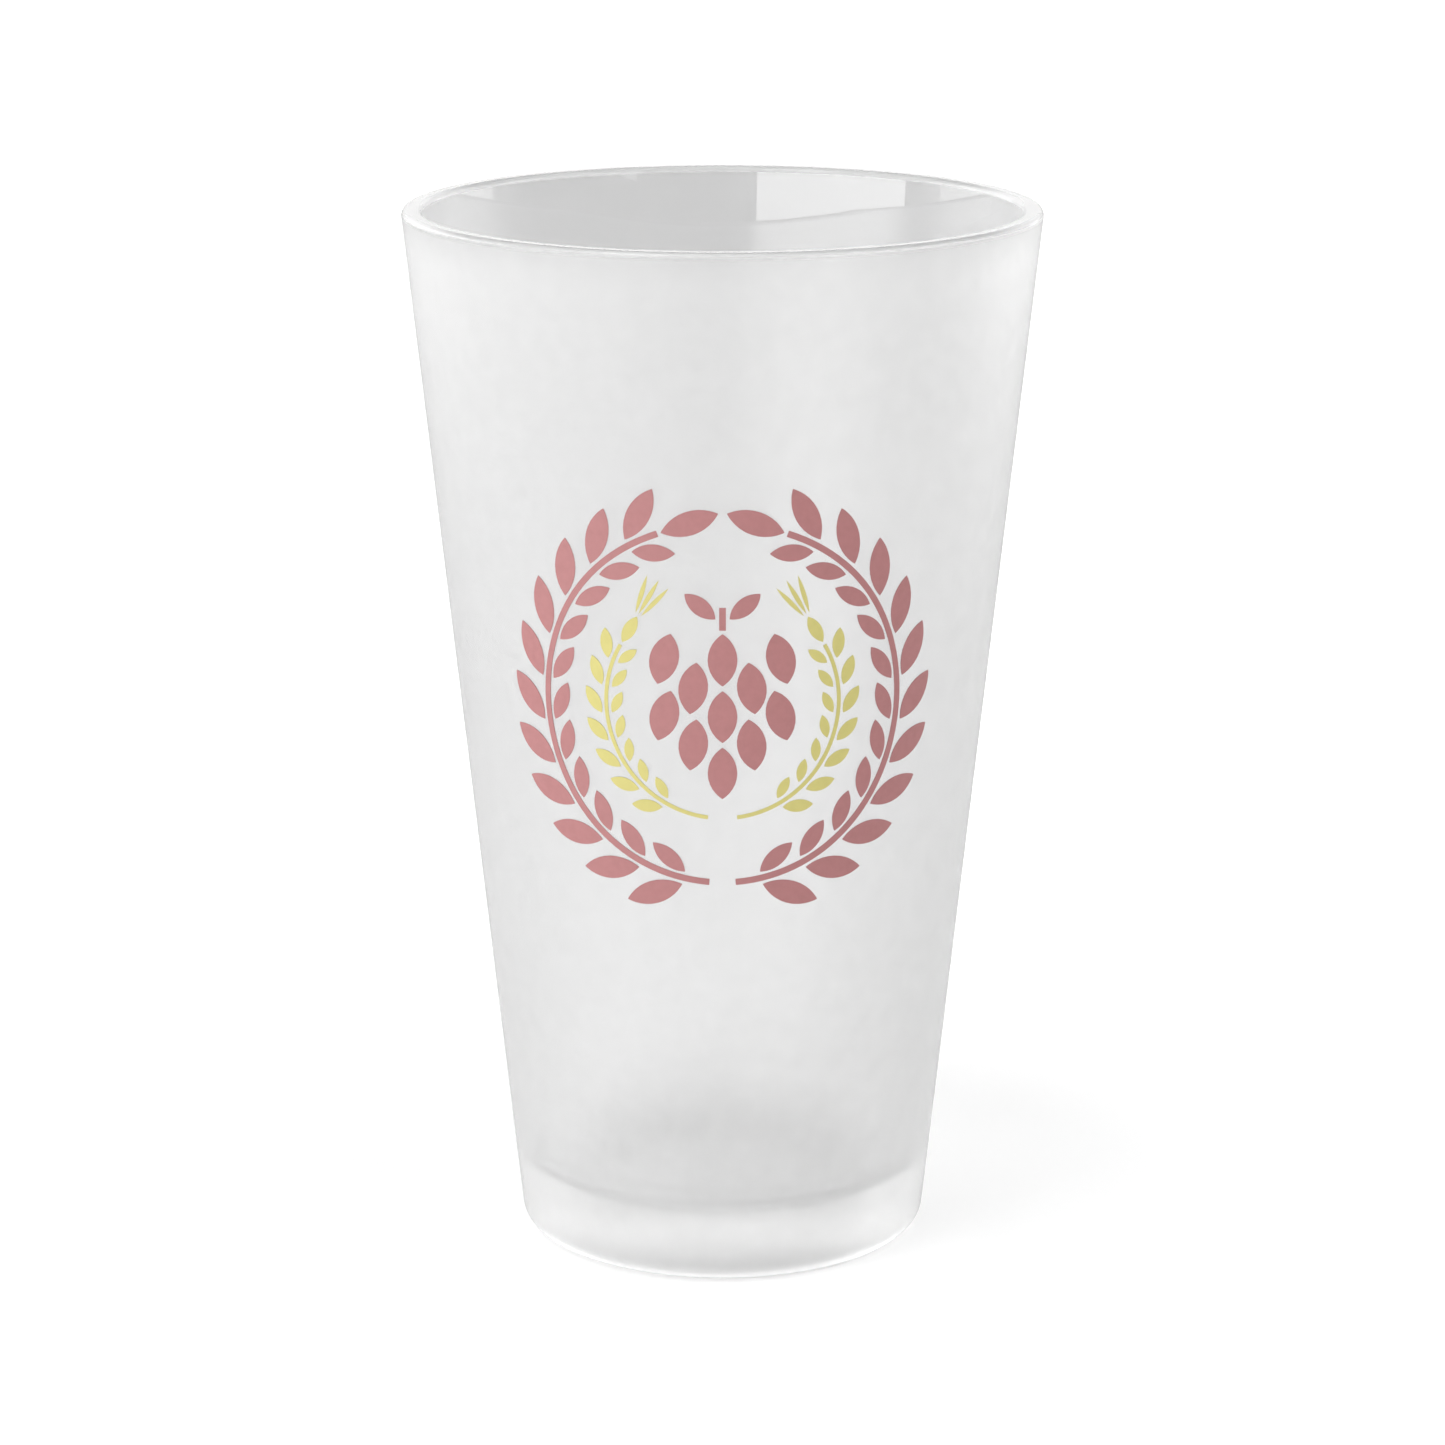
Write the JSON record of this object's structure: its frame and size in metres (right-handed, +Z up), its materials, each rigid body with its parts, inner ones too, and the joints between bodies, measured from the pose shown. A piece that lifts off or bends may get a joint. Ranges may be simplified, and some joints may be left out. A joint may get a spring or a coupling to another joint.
{
  "type": "pint glass",
  "caption": "Straight-tapered pint glass in thick clear glass, with a heavy base, a satin-frosted outside, a bare clear lip and a two-colour leaf print on the front.",
  "frame": {"origin": "centre of the foot, on the table plane", "axes": "+Z up along the glass's own axis, the print faces -Y, +X to the viewer's right"},
  "size_m": [0.0896, 0.0896, 0.1492],
  "materials": {
    "clear_glass": "clear pressed soda-lime glass, glossy fire-polished lip and inside",
    "satin_coat": "fine satin frost, neutral white, translucent",
    "rose_ink": "matt dusty rose print",
    "yellow_ink": "matt pale yellow print"
  },
  "bodies": {
    "root": {"glass_body": "clear_glass", "frost_coating": "satin_coat", "print_rose": "rose_ink", "print_yellow": "yellow_ink"}
  },
  "joints": []
}
